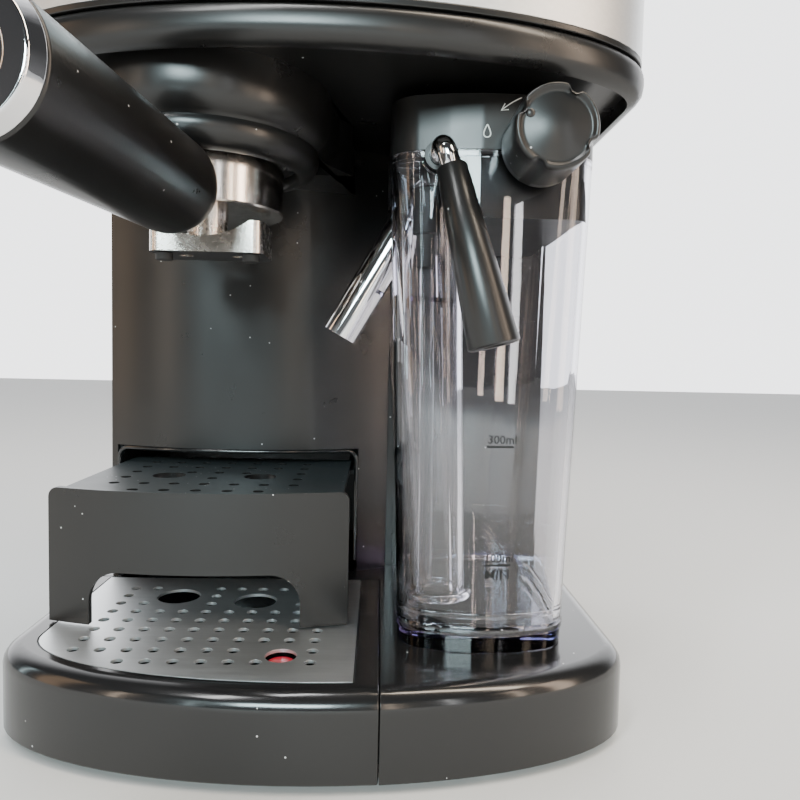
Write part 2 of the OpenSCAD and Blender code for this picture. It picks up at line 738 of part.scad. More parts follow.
module milk_lid() color("#1d1e21") difference() {
    union() {
        translate([0, 0, milk_z + 0.2]) linear_extrude(lid_top - milk_z - 0.2)
            milk_outline(milk_high[0], milk_high[1], milk_y[0], milk_y[1], 0);
        translate([0, 0, 187]) linear_extrude(milk_z + 1 - 187)
            union() {
                true_round_rect(56, 94, milk_y[0] + 7, milk_y[1] - 3.5, 6);
                translate([51.2, milk_y[0] + 7]) square([12, 15.5]);
            }
        rod_y(knob_x, knob_z, -80, -60, 9);
        rod_y(pivot_x, pivot_z, -80, -54, 5.2);
        rod_y(pivot_x, pivot_z, milk_y[1] - 2, milk_y[1] + 2.6, 8);
        rod_y(pivot_x, pivot_z, milk_y[1] + 1, 34, 4.5);
    }
    rod_y(knob_x, knob_z, -81, -61, 4 + play);
    rod_y(pivot_x, pivot_z, -81, -30, axle_r + play);
    rod_y(pivot_x, pivot_z, -54, -34, 9.4);
    box(0, 51, -54, -34, 0, pivot_z + 3);
    rod_y(pivot_x, pivot_z, 0, 40, 2);
}

module suction_tube() color([0.85, 0.85, 0.88, 0.8]) bar([40.2, -61, 50], [38.2, -62, 170], 2.7, 2.7);

module tube_holder() color("#222225") translate([38.2, -62, 0]) difference() {
    union() {
        disc(0, 0, 182, 199, 5.5);
        disc(0, 0, 169.6, 182, 4.2);
    }
    disc(0, 0, 160, 190, 2.85);
}

module lever_elbow() color("#d7d8db") union() {
    rod_y(pivot_x, pivot_z, -86.5, -35.2, axle_r);
    translate([pivot_x, -86.5, pivot_z]) sphere(r = axle_r + 0.5);
    bar([pivot_x, -86.5, pivot_z], grip_top, axle_r + 0.1, axle_r);
}

module lever_grip() color("#18181b") difference() {
    bar(grip_top, grip_end, 5.3, 8.9);
    bar([pivot_x, -86.5, pivot_z], grip_top + [0.1, 0, -0.4], axle_r + 0.2, axle_r + 0.2);
}

module milk_spout() color("#dcdde0") let (tip = [5, spout_y, 145], top = [pivot_x, spout_y, pivot_z])
    difference() {
        union() {
            bar(top, tip, spout_r, spout_r);
            translate(top) sphere(r = 8.2);
        }
        bar(top + (tip - top) * 0.2, tip + (tip - top) * 0.02, spout_r - 1, spout_r - 1);
        rod_y(pivot_x, pivot_z, -60, -30, axle_r + 0.01);
    }

module froth_knob() color("#1a1a1d") difference() {
    union() {
        rod_y(knob_x, knob_z, -103, -81, knob_r);
        rod_y(knob_x, knob_z, -106, -103, knob_r - 1.4);
        rod_y(knob_x, knob_z, -81, -62, 4);
    }
    for (a = [65:90:335]) rod_y(knob_x + 15.6 * cos(a), knob_z + 15.6 * sin(a), -110, -86, 4.4);
}

// ---- water tank ----

module water_tank() color([0.3, 0.32, 0.36, 0.5]) difference() {
    union() {
        translate([0, 0, tank_z + 1]) linear_extrude(lid_z - tank_z - 1.2)
            true_round_rect(0.6 - niche_x, niche_x - 0.6, niche_y + 0.6, rear_y - 1, 8);
        disc(outlet[0], outlet[1], tank_z - 8, tank_z + 1, 5.6);
        for (x = [-74, 70]) box(x, x + 4, hinge_y - 2.6, rear_y - 1, lid_z - 6, hinge_z + 2.6);
    }
    difference() {
        translate([0, 0, tank_z + 1 + tank_wall]) linear_extrude(far)
            true_round_rect(0.6 + tank_wall - niche_x, niche_x - 0.6 - tank_wall,
                niche_y + 0.6 + tank_wall, rear_y - 1 - tank_wall, 5.5);
        for (x = [-74, 70]) box(x, x + 4, hinge_y - 2.6, rear_y, lid_z - 6, hinge_z + 2.6);
    }
    translate([-80, hinge_y, hinge_z]) rotate([0, 90, 0]) cylinder(r = pin_r, h = 160);
    disc(outlet[0], outlet[1], 80, far, 3.6);
}

module tank_lid() color("#1c1c1f") difference() {
    union() {
        difference() {
            translate([0, 0, lid_z]) linear_extrude(top_z - lid_z) difference() {
                true_round_rect(0.6 - niche_x, niche_x - 0.6, niche_y + 0.6, hinge_y + 3.3, 8);
                translate([0, niche_y]) square([44, 12], center = true);
            }
            translate([0, 0, lid_z - 1]) linear_extrude(4.6)
                true_round_rect(3 - niche_x, niche_x - 3, niche_y + 10, hinge_y - 8, 5);
            box(-far, far, hinge_y - 4.6, far, 0, hinge_z + 0.1);
        }
        translate([-84, hinge_y, hinge_z]) rotate([0, 90, 0]) cylinder(r = 3.2, h = 168);
    }
    for (x = [-74, 70]) box(x - gap, x + 4 + gap, hinge_y - 3.9, far, 0, far);
    translate([-80, hinge_y, hinge_z]) rotate([0, 90, 0]) cylinder(r = pin_r + play, h = 160);
}

module lid_pins() color("#b9babd") for (x = [-79, 65]) translate([x, hinge_y, hinge_z])
    rotate([0, 90, 0]) cylinder(r = pin_r, h = 14);

module tank_valve() color("#ededed") union() {
    disc(outlet[0], outlet[1], tank_z + 1 + tank_wall, tank_z + 6, 5.4);
    disc(outlet[0], outlet[1], tank_z - 5, tank_z + 1 + tank_wall, 2.6);
}

// ---- output ----

base_pan();
base_deck();
feet();
column_shell();
rear_cover();
cup_recess();
tank_niche();
group_shroud();
head_base();
head_shell();
fascia();
fascia_trim();
top_cover();
button_bezel();
button_boards();
control_board();
button_left();
button_middle();
button_right();
power_switch();
switch_bezel();
cord_inlet();
steam_socket();
pump();
pump_mounts();
boiler();
boiler_element();
steam_valve();
brew_hose();
steam_hose();
tank_hose();
group_head();
group_gasket();
shower_screen();
screen_screw();
casing_screws();
portafilter_bowl();
filter_basket();
basket_clip();
handle_rod();
portafilter_handle();
handle_cap();
spout_box();
spout_feet();
cup_tray();
drip_tray();
drip_grid();
drip_float();
milk_tank();
milk_lid();
suction_tube();
tube_holder();
froth_knob();
lever_elbow();
lever_grip();
milk_spout();
water_tank();
tank_lid();
lid_pins();
tank_valve();
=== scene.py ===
"""Looks of a pump coffee machine with a milk frother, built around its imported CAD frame."""
import json
import math

import bmesh
import bpy
from mathutils import Matrix, Vector

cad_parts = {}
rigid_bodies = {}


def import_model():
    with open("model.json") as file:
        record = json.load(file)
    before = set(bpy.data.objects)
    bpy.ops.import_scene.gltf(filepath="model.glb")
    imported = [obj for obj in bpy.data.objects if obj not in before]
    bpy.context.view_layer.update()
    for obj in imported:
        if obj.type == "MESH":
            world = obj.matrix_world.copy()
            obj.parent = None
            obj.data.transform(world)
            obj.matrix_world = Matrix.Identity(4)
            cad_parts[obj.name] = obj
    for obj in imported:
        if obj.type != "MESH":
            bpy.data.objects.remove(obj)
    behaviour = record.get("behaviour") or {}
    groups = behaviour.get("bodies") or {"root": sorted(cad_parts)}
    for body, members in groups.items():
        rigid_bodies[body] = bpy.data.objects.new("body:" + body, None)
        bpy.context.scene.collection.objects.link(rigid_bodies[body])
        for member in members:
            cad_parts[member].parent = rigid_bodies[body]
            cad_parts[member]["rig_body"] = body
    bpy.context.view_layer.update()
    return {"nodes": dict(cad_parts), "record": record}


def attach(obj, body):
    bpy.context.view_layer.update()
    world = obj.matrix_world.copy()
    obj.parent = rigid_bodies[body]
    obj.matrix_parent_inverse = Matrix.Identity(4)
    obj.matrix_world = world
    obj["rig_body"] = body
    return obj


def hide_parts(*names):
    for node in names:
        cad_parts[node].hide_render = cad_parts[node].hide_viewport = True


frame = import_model()

MM = 0.001


# ---------------------------------------------------------------- camera, floor and light

CAMERA_AT = Vector((20.64, -326.3, 137.0)) * MM
PITCH_DOWN = math.radians(3.538)
YAW_RIGHT = math.radians(1.859)
ROLL = math.radians(1.249)
LENS_MM = 31.69
SENSOR_MM = 36.0
FLOOR_Z = -3.0 * MM
FLOOR_HALF = 3.0

WHITE = (1, 1, 1)
WARM = (1, 0.8, 0.62)
COOL = (0.76, 0.96, 1)
# x, y, width, power and colour of the upright strip lights round the machine
STRIPS = (
    (-0.95, -0.95, 0.05, 1.3, WARM),
    (-0.62, -1.2, 0.03, 0.8, COOL),
    (0.3, -1.35, 0.04, 1.0, WARM),
    (0.55, -1.15, 0.025, 0.9, WHITE),
    (0.8, -0.85, 0.05, 1.3, WARM),
    (-1.25, -0.1, 0.05, 1.0, COOL),
)
STRIP_HEIGHT, STRIP_LENGTH = 0.34, 0.6


def make_camera():
    ahead = Vector((math.sin(YAW_RIGHT) * math.cos(PITCH_DOWN),
                    math.cos(YAW_RIGHT) * math.cos(PITCH_DOWN), -math.sin(PITCH_DOWN)))
    level = Vector((math.cos(YAW_RIGHT), -math.sin(YAW_RIGHT), 0))
    upward = level.cross(ahead)
    right = level * math.cos(ROLL) + upward * math.sin(ROLL)
    up = upward * math.cos(ROLL) - level * math.sin(ROLL)
    data = bpy.data.cameras.new("camera")
    data.lens, data.sensor_width = LENS_MM, SENSOR_MM
    data.clip_start, data.clip_end = 0.01, 20.0
    camera = bpy.data.objects.new("camera", data)
    camera.matrix_world = Matrix.Translation(CAMERA_AT) @ Matrix(
        (right, up, -ahead)).transposed().to_4x4()
    bpy.context.scene.collection.objects.link(camera)
    bpy.context.scene.camera = camera


def area_light(name, at, towards, size, power, colour=WHITE):
    data = bpy.data.lights.new(name, "AREA")
    data.shape, data.size, data.size_y = "RECTANGLE", size[0], size[1]
    data.energy, data.color = power, colour
    light = bpy.data.objects.new(name, data)
    light.location = at
    light.rotation_euler = (Vector(towards) - Vector(at)).to_track_quat("-Z", "Y").to_euler()
    bpy.context.scene.collection.objects.link(light)


def make_world():
    """A pale wall behind the machine and a dimmer room in front of it, darker towards the ceiling."""
    world = bpy.data.worlds.new("studio")
    bpy.context.scene.world = world
    world.use_nodes = True
    tree = world.node_tree
    background = tree.nodes["Background"]
    place = tree.nodes.new("ShaderNodeTexCoord")
    split = tree.nodes.new("ShaderNodeSeparateXYZ")
    tree.links.new(place.outputs["Generated"], split.inputs["Vector"])

    def ramp(axis, start, end, low, high):
        node = tree.nodes.new("ShaderNodeMapRange")
        node.interpolation_type = "SMOOTHSTEP"
        for socket, value in (("From Min", start), ("From Max", end), ("To Min", low), ("To Max", high)):
            node.inputs[socket].default_value = value
        tree.links.new(split.outputs[axis], node.inputs["Value"])
        return node.outputs["Result"]

    room = ramp("Z", -0.1, 0.5, 0.17, 0.06)
    behind = ramp("Y", 0.1, 0.6, 0.0, 3.1)
    total = tree.nodes.new("ShaderNodeMath")
    tree.links.new(room, total.inputs[0])
    tree.links.new(behind, total.inputs[1])
    tree.links.new(total.outputs["Value"], background.inputs["Strength"])
    background.inputs["Color"].default_value = (0.97, 0.98, 1.0, 1)


def make_stage():
    mesh = bpy.data.meshes.new("floor")
    corners = ((-1, -1), (1, -1), (1, 1), (-1, 1))
    mesh.from_pydata([(FLOOR_HALF * x, FLOOR_HALF * y, FLOOR_Z) for x, y in corners], [],
                     [(0, 1, 2, 3)])
    floor = bpy.data.objects.new("floor", mesh)
    bpy.context.scene.collection.objects.link(floor)
    floor.data.materials.append(plain("floor_pale", (0.62, 0.62, 0.61), 0.7))
    make_world()
    area_light("ceiling", (-0.3, -0.5, 1.25), (0, 0, 0.12), (0.12, 1.1), 12)
    area_light("ceiling_right", (0.5, -0.4, 1.15), (0.02, 0, 0.12), (0.12, 1.1), 12, (1, 0.85, 0.68))
    area_light("left_wall", (-1.1, -0.45, 0.4), (-0.05, 0, 0.1), (0.25, 0.8), 1.6, (1, 0.66, 0.4))
    area_light("right_wall", (1.0, -0.6, 0.4), (0.04, 0, 0.1), (0.2, 0.8), 5, (1, 0.78, 0.6))
    area_light("front", (-0.25, -1.5, 0.62), (-0.02, 0, 0.1), (0.5, 0.34), 24, COOL)
    for k, (x, y, wide, power, colour) in enumerate(STRIPS):
        area_light(f"strip_{k}", (x, y, STRIP_HEIGHT), (0, 0, 0.16), (wide, STRIP_LENGTH), power,
                   colour)


# ---------------------------------------------------------------- materials

def new_material(name):
    material = bpy.data.materials.new(name)
    material.use_nodes = True
    tree = material.node_tree
    return material, tree, tree.nodes["Principled BSDF"]


def plain(name, colour, roughness):
    material, _, shader = new_material(name)
    shader.inputs["Base Color"].default_value = (*colour, 1)
    shader.inputs["Roughness"].default_value = roughness
    return material


def spread(tree, source, low, high):
    node = tree.nodes.new("ShaderNodeMapRange")
    node.inputs["To Min"].default_value = low
    node.inputs["To Max"].default_value = high
    tree.links.new(source, node.inputs["Value"])
    return node.outputs["Result"]


def noise(tree, scale, detail=4.0, stretch=(1, 1, 1), rough=0.55):
    place = tree.nodes.new("ShaderNodeTexCoord")
    mapping = tree.nodes.new("ShaderNodeMapping")
    mapping.inputs["Scale"].default_value = stretch
    tree.links.new(place.outputs["Object"], mapping.inputs["Vector"])
    node = tree.nodes.new("ShaderNodeTexNoise")
    node.inputs["Scale"].default_value = scale
    node.inputs["Detail"].default_value = detail
    node.inputs["Roughness"].default_value = rough
    tree.links.new(mapping.outputs["Vector"], node.inputs["Vector"])
    return node.outputs["Fac"]


def bump(tree, shader, height, strength, distance):
    node = tree.nodes.new("ShaderNodeBump")
    node.inputs["Strength"].default_value = strength
    node.inputs["Distance"].default_value = distance
    tree.links.new(height, node.inputs["Height"])
    tree.links.new(node.outputs["Normal"], shader.inputs["Normal"])


def two_colours(tree, shader, factor, first, second):
    node = tree.nodes.new("ShaderNodeMix")
    node.data_type = "RGBA"
    node.inputs["A"].default_value = (*first, 1)
    node.inputs["B"].default_value = (*second, 1)
    tree.links.new(factor, node.inputs["Factor"])
    tree.links.new(node.outputs["Result"], shader.inputs["Base Color"])


def specks(tree, size, cells, share):
    """1 on a few small scattered dots, 0 elsewhere: settled dust."""
    place = tree.nodes.new("ShaderNodeTexCoord")
    cell = tree.nodes.new("ShaderNodeTexVoronoi")
    cell.inputs["Scale"].default_value = cells
    tree.links.new(place.outputs["Object"], cell.inputs["Vector"])
    near = tree.nodes.new("ShaderNodeMath")
    near.operation = "LESS_THAN"
    near.inputs[1].default_value = size
    tree.links.new(cell.outputs["Distance"], near.inputs[0])
    split = tree.nodes.new("ShaderNodeSeparateColor")
    tree.links.new(cell.outputs["Color"], split.inputs["Color"])
    chosen = tree.nodes.new("ShaderNodeMath")
    chosen.operation = "LESS_THAN"
    chosen.inputs[1].default_value = share
    tree.links.new(split.outputs["Red"], chosen.inputs[0])
    both = tree.nodes.new("ShaderNodeMath")
    both.operation = "MULTIPLY"
    tree.links.new(near.outputs["Value"], both.inputs[0])
    tree.links.new(chosen.outputs["Value"], both.inputs[1])
    return both.outputs["Value"]


def moulded(name, colour, light, rough, grain=1400.0, depth=0.00003, coat=0.0, dust=0.0):
    """Moulded plastic: fine grain, slow changes of gloss and tone, and a little settled dust."""
    material, tree, shader = new_material(name)
    tone = tree.nodes.new("ShaderNodeMix")
    tone.data_type = "RGBA"
    tone.inputs["A"].default_value = (*colour, 1)
    tone.inputs["B"].default_value = (*light, 1)
    tree.links.new(noise(tree, 14), tone.inputs["Factor"])
    if dust:
        dusty = tree.nodes.new("ShaderNodeMix")
        dusty.data_type = "RGBA"
        dusty.inputs["B"].default_value = (0.5, 0.5, 0.5, 1)
        tree.links.new(tone.outputs["Result"], dusty.inputs["A"])
        tree.links.new(specks(tree, 0.11, 330, dust), dusty.inputs["Factor"])
        tree.links.new(dusty.outputs["Result"], shader.inputs["Base Color"])
    else:
        tree.links.new(tone.outputs["Result"], shader.inputs["Base Color"])
    tree.links.new(spread(tree, noise(tree, 45, 6), rough[0], rough[1]), shader.inputs["Roughness"])
    bump(tree, shader, noise(tree, grain, 2), 0.3, depth)
    shader.inputs["Coat Weight"].default_value = coat
    shader.inputs["Coat Roughness"].default_value = 0.08
    return material


def brushed(name, colour, light, rough, stretch, scale=60.0, depth=0.00003):
    """Brushed metal: noise drawn out along one direction."""
    material, tree, shader = new_material(name)
    lines = noise(tree, scale, 8, stretch, 0.7)
    two_colours(tree, shader, spread(tree, lines, 0, 1), colour, light)
    tree.links.new(spread(tree, lines, rough[0], rough[1]), shader.inputs["Roughness"])
    bump(tree, shader, lines, 0.25, depth)
    shader.inputs["Metallic"].default_value = 1.0
    return material


def polished(name, colour, rough, waves=0.0):
    """Chrome or polished casting, with faint smears and, if asked, a wavy cast surface."""
    material, tree, shader = new_material(name)
    shader.inputs["Metallic"].default_value = 1.0
    two_colours(tree, shader, noise(tree, 30, 3), colour, tuple(0.9 * c for c in colour))
    tree.links.new(spread(tree, noise(tree, 80, 5), rough[0], rough[1]), shader.inputs["Roughness"])
    if waves:
        bump(tree, shader, noise(tree, 160, 3), 0.4, waves)
    return material


def cast(name, first, second, rough, pitted):
    """Bright cast zinc: a fine pitted skin with faint upright drawing marks."""
    material, tree, shader = new_material(name)
    shader.inputs["Metallic"].default_value = 1.0
    marks = noise(tree, 260, 3, (1, 1, 0.05))
    two_colours(tree, shader, spread(tree, marks, -0.6, 1.6), first, second)
    tree.links.new(spread(tree, noise(tree, 420, 4), *rough), shader.inputs["Roughness"])
    pits = tree.nodes.new("ShaderNodeMath")
    pits.operation = "ADD"
    tree.links.new(marks, pits.inputs[0])
    tree.links.new(noise(tree, 1500, 2), pits.inputs[1])
    bump(tree, shader, pits.outputs["Value"], 0.5, pitted)
    return material


def clear(name, tint, rough, ior=1.47, wear=0.0, absorbs=None):
    """Clear moulded plastic, faintly wavy, as injection-moulded walls are."""
    material, tree, shader = new_material(name)
    shader.inputs["Base Color"].default_value = (*tint, 1)
    shader.inputs["Transmission Weight"].default_value = 1.0
    if absorbs:
        volume = tree.nodes.new("ShaderNodeVolumeAbsorption")
        volume.inputs["Color"].default_value = (*absorbs, 1)
        volume.inputs["Density"].default_value = 22.0
        output = next(n for n in tree.nodes if n.type == "OUTPUT_MATERIAL")
        tree.links.new(volume.outputs["Volume"], output.inputs["Volume"])
    shader.inputs["IOR"].default_value = ior
    tree.links.new(spread(tree, noise(tree, 70, 4), rough[0], rough[1]), shader.inputs["Roughness"])
    bump(tree, shader, noise(tree, 22, 2), 0.15, 0.0004 + wear)
    return material


def make_materials():
    return {
        "black_satin": moulded("black_satin", (0.006, 0.006, 0.0065), (0.012, 0.0115, 0.011), (0.24, 0.34),
                               dust=0.05),
        "black_gloss": moulded("black_gloss", (0.007, 0.007, 0.008), (0.012, 0.012, 0.012), (0.13, 0.22),
                               1400, 0.00001, 0.2, 0.03),
        "dark_inner": moulded("dark_inner", (0.014, 0.014, 0.015), (0.026, 0.026, 0.027), (0.45, 0.6)),
        "steel_brushed": brushed("steel_brushed", (0.7, 0.72, 0.73), (0.88, 0.9, 0.91), (0.36, 0.52),
                                 (1, 14, 14)),
        "chrome": polished("chrome", (0.86, 0.86, 0.88), (0.03, 0.09)),
        "cast_zinc": cast("cast_zinc", (0.86, 0.8, 0.74), (0.6, 0.55, 0.5), (0.16, 0.36), 0.00006),
        "aluminium": polished("aluminium", (0.55, 0.56, 0.58), (0.35, 0.55), 0.0003),
        "rubber": moulded("rubber", (0.01, 0.01, 0.01), (0.02, 0.02, 0.02), (0.6, 0.8), 500, 0.0001),
        "silicone_red": moulded("silicone_red", (0.32, 0.03, 0.02), (0.4, 0.05, 0.04), (0.5, 0.6)),
        "float_red": moulded("float_red", (0.42, 0.004, 0.022), (0.55, 0.008, 0.035), (0.25, 0.35)),
        "clear_tank": clear("clear_tank", (0.985, 0.985, 1.0), (0.0, 0.02), absorbs=(0.66, 0.62, 1.0)),
        "smoke_tank": clear("smoke_tank", (0.16, 0.17, 0.19), (0.03, 0.09)),
        "tube_clear": clear("tube_clear", (0.72, 0.72, 0.75), (0.15, 0.3), 1.3),
        "hose_silicone": moulded("hose_silicone", (0.7, 0.7, 0.66), (0.78, 0.78, 0.74), (0.35, 0.5)),
        "circuit": moulded("circuit", (0.02, 0.12, 0.05), (0.03, 0.18, 0.08), (0.35, 0.5)),
        "screw_steel": brushed("screw_steel", (0.45, 0.45, 0.46), (0.6, 0.6, 0.6), (0.25, 0.4), (6, 6, 6)),
        "white_plastic": moulded("white_plastic", (0.75, 0.75, 0.72), (0.82, 0.82, 0.8), (0.3, 0.45)),
        "copper": polished("copper", (0.6, 0.3, 0.16), (0.3, 0.5)),
    }


MATERIALS = make_materials()
SLOT_OF = {s["node"]: s["material_slot"] for s in frame["record"]["subparts"]}


def dress_cad_nodes():
    """Gives every CAD node the material of its own slot."""
    for name, node in frame["nodes"].items():
        material = MATERIALS[SLOT_OF[name]]
        if not node.data.materials:
            node.data.materials.append(material)
        for slot in node.material_slots:
            slot.material = material


# ---------------------------------------------------------------- pieces

def coat(piece, material, way, least=0.9):
    """Gives the faces that look a certain way a second material."""
    piece.data.materials.append(material)
    for face in piece.data.polygons:
        if face.normal.dot(Vector(way)) > least:
            face.material_index = len(piece.data.materials) - 1


def place_piece(piece, node, material=None, replaces=True):
    """Gives a new piece its material, its body and the CAD node it stands for."""
    if piece.name not in bpy.context.scene.collection.objects:
        bpy.context.scene.collection.objects.link(piece)
    if not piece.data.materials:
        piece.data.materials.append(material or MATERIALS[SLOT_OF[node]])
    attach(piece, frame["nodes"][node]["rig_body"])
    if replaces:
        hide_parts(node)
    return piece


def soften(piece, width, segments=2, angle=30):
    """Rounds the piece's sharp edges and shades everything gentler than the angle smooth."""
    if width:
        edge = piece.modifiers.new("edges", "BEVEL")
        edge.width, edge.segments = width * MM, segments
        edge.limit_method, edge.angle_limit = "ANGLE", math.radians(angle)
        edge.use_clamp_overlap = True
        edge.harden_normals = True
        edge.miter_outer = "MITER_ARC"
    bm = bmesh.new()
    bm.from_mesh(piece.data)
    for face in bm.faces:
        face.smooth = True
    for edge in bm.edges:
        edge.smooth = len(edge.link_faces) == 2 and edge.calc_face_angle(0) < math.radians(angle)
    bm.to_mesh(piece.data)
    bm.free()


def refined(node, width=0.4, segments=2, angle=30):
    """A cleaned copy of a CAD node's mesh with rounded edges and smooth curves."""
    mesh = frame["nodes"][node].data.copy()
    mesh.materials.clear()
    piece = bpy.data.objects.new("v_" + node, mesh)
    bm = bmesh.new()
    bm.from_mesh(mesh)
    bmesh.ops.remove_doubles(bm, verts=bm.verts, dist=0.00001)
    if width:
        bmesh.ops.dissolve_limit(bm, angle_limit=math.radians(0.4), verts=bm.verts, edges=bm.edges)
    for face in bm.faces:
        face.material_index = 0
    bm.to_mesh(mesh)
    bm.free()
    soften(piece, width, segments, angle)
    level = piece.modifiers.new("level", "WEIGHTED_NORMAL")
    level.mode, level.weight, level.keep_sharp = "FACE_AREA", 80, True
    return place_piece(piece, node)


def mesh_piece(name, points, faces):
    """A new object from points in millimetres."""
    mesh = bpy.data.meshes.new(name)
    mesh.from_pydata([tuple(MM * c for c in p) for p in points], [], faces)
    mesh.update()
    return bpy.data.objects.new(name, mesh)


def loft(name, rings, close=(True, True)):
    """A skin through rings of equally many points; each end may be closed."""
    count = len(rings[0])
    points = [p for ring in rings for p in ring]
    faces = []
    for i in range(len(rings) - 1):
        for k in range(count):
            a, b = i * count + k, i * count + (k + 1) % count
            faces.append((a, b, b + count, a + count))
    if close[0]:
        faces.append(tuple(reversed(range(count))))
    if close[1]:
        faces.append(tuple(range((len(rings) - 1) * count, len(rings) * count)))
    return mesh_piece(name, points, faces)


def sweep(name, path, radii, count=32):
    """A round bar along a path, with a radius at each point of the path."""
    rings = []
    side = None
    for i, point in enumerate(path):
        here = Vector(point)
        ahead = (Vector(path[min(i + 1, len(path) - 1)]) - Vector(path[max(i - 1, 0)])).normalized()
        if side is None:
            side = ahead.orthogonal().normalized()
        side = (side - ahead * side.dot(ahead)).normalized()
        other = ahead.cross(side)
        rings.append([here + radii[i] * (math.cos(t) * side + math.sin(t) * other)
                      for t in (math.tau * k / count for k in range(count))])
    return loft(name, rings)


def curve_points(a, b, c, steps):
    """Points of the quadratic curve from a to c that leans towards b."""
    out = []
    for i in range(steps + 1):
        t = i / steps
        out.append(tuple((1 - t) ** 2 * p + 2 * t * (1 - t) * q + t * t * r for p, q, r in zip(a, b, c)))
    return out


# ---- milk frother ----

PIVOT = (40.5, 206.5)
KNOB = (74.9, 209.4)
KNOB_NOTCHES = (65, 155, 245, 335)     # where the finger notches are, in degrees
NOTCH_HALF_ANGLE = 9.0
NOTCH_DEPTH = 1.7
PIP_ANGLE = math.radians(157)
PIP_RADIUS = 9.3


def make_lever():
    """The chrome tube that comes out of the lid and bends down into its black grip."""
    x, z = PIVOT
    path = [(x, -36, z), (x, -60, z), (x, -79, z), (x, -81.5, z + 0.2)]
    path += curve_points((x, -82.5, z + 0.3), (x + 0.3, -90.6, z + 3.9), (43.9, -88.1, 199.8), 16)
    elbow = sweep("v_lever_elbow", path, [3.5] * len(path))
    soften(elbow, 0)
    place_piece(elbow, "lever_elbow")
    top, end = Vector((43.8, -88, 200.6)), Vector((59, -94, 141))
    stops = ((0, 4.1), (0.0, 4.9), (0.006, 5.25), (0.5, 7.1), (0.985, 8.88), (0.995, 8.7),
             (1.0, 8.2), (1.0, 4.0), (0.99, 3.6))
    grip = sweep_axis("v_lever_grip", top, end, stops)
    place_piece(grip, "lever_grip")


def sweep_axis(name, start, end, stops, count=48):
    """A turned shape on the line from start to end: pairs of place along it (0 to 1) and radius."""
    ahead = (end - start).normalized()
    side = ahead.orthogonal().normalized()
    other = ahead.cross(side)
    rings = [[start + (end - start) * t + r * (math.cos(a) * side + math.sin(a) * other)
              for a in (math.tau * k / count for k in range(count))] for t, r in stops]
    piece = loft(name, rings)
    soften(piece, 0, angle=40)
    return piece


def make_knob():
    """A domed knob with a raised rim and four finger notches."""
    profile = ((-62, 3.9), (-81.2, 3.9), (-81.2, 12.8), (-82, 13.5), (-86, 13.6), (-98, 13.55),
               (-103.8, 13.5), (-104.9, 13.3), (-105.6, 12.9), (-105.75, 12.4), (-105.5, 11.9),
               (-104.8, 11.4), (-104.6, 10.9), (-104.7, 10.2), (-105.0, 8.2), (-105.5, 5.4),
               (-105.85, 2.8), (-105.95, 0.5))
    count = 144
    rings = []
    for y, r in profile:
        ring = []
        for k in range(count):
            turn = 360.0 * k / count
            cut = 0.0
            for notch in KNOB_NOTCHES:
                away = (turn - notch + 180) % 360 - 180
                cut = max(cut, math.exp(-(away / NOTCH_HALF_ANGLE) ** 4))
            deep = NOTCH_DEPTH * cut * min(1.0, max(0.0, (-84 - y) / 3)) if r > 11 else 0.0
            rr = r - deep * min(1.0, (r - 11) / 1.5)
            a = math.radians(turn)
            ring.append((KNOB[0] + rr * math.cos(a), y, KNOB[1] + rr * math.sin(a)))
        rings.append(ring)
    knob = loft("v_froth_knob", rings)
    soften(knob, 0, angle=50)
    place_piece(knob, "froth_knob")
    x, z = KNOB[0] + PIP_RADIUS * math.cos(PIP_ANGLE), KNOB[1] + PIP_RADIUS * math.sin(PIP_ANGLE)
    pip = sweep_axis("v_knob_pip", Vector((x, -104.2, z)), Vector((x, -105.5, z)),
                     ((0, 1.5), (0.7, 1.35), (0.95, 0.9), (1, 0.3)), 24)
    place_piece(pip, "froth_knob", replaces=False)


TANK_FOOT, TANK_TOP = 36.3, 209
TANK_FRONT = -79.5                 # y of the front wall's foremost line
TANK_BULGE = 3.5                   # how far the front wall's ends lie behind that line
FRONT_CORNER, REAR_CORNER = 13, 6
REAR_CORNER_Y = 19


def tank_sides(z):
    """x of the milk tank's left and right walls, which lean outwards."""
    up = (z - TANK_FOOT) / (TANK_TOP - TANK_FOOT)
    return 30 - 6 * up, 92 + 6 * up


def tank_front(x, z):
    """y of the milk tank's bulging front wall, in millimetres."""
    left, right = tank_sides(z)
    half = (right - left) / 2 - FRONT_CORNER
    along = (x - (left + right) / 2) / half
    beyond = max(0.0, abs(along) - 1) * half
    return (TANK_FRONT + TANK_BULGE * min(1.0, along * along) + FRONT_CORNER
            - math.sqrt(max(0.0, FRONT_CORNER ** 2 - beyond * beyond)))


def on_front(piece, lift):
    """Lays a flat piece drawn in x and z onto the milk tank's front."""
    for v in piece.data.vertices:
        v.co.y = MM * (tank_front(v.co.x / MM, v.co.z / MM) - lift)


FIGURE_SIZE = 1.38                 # font size over the height of its figures


def lettering(name, words, x, z, height, lift, node, material):
    """Figures printed on the milk tank or its lid, with their left lower corner at x, z."""
    data = bpy.data.curves.new(name, "FONT")
    data.body, data.size = words, height * FIGURE_SIZE * MM
    data.resolution_u = 3
    data.offset = 0.02 * MM
    source = bpy.data.objects.new(name, data)
    bpy.context.scene.collection.objects.link(source)
    bpy.context.view_layer.update()
    mesh = bpy.data.meshes.new_from_object(source)
    bpy.data.objects.remove(source)
    for v in mesh.vertices:
        v.co = Vector((v.co.x + x * MM, 0, v.co.y + z * MM))
    piece = bpy.data.objects.new("v_" + name, mesh)
    bm = bmesh.new()
    bm.from_mesh(mesh)
    bmesh.ops.triangulate(bm, faces=bm.faces)
    bm.to_mesh(mesh)
    bm.free()
    mesh.materials.clear()
    on_front(piece, lift)
    mesh.materials.append(material)
    return place_piece(piece, node, replaces=False)


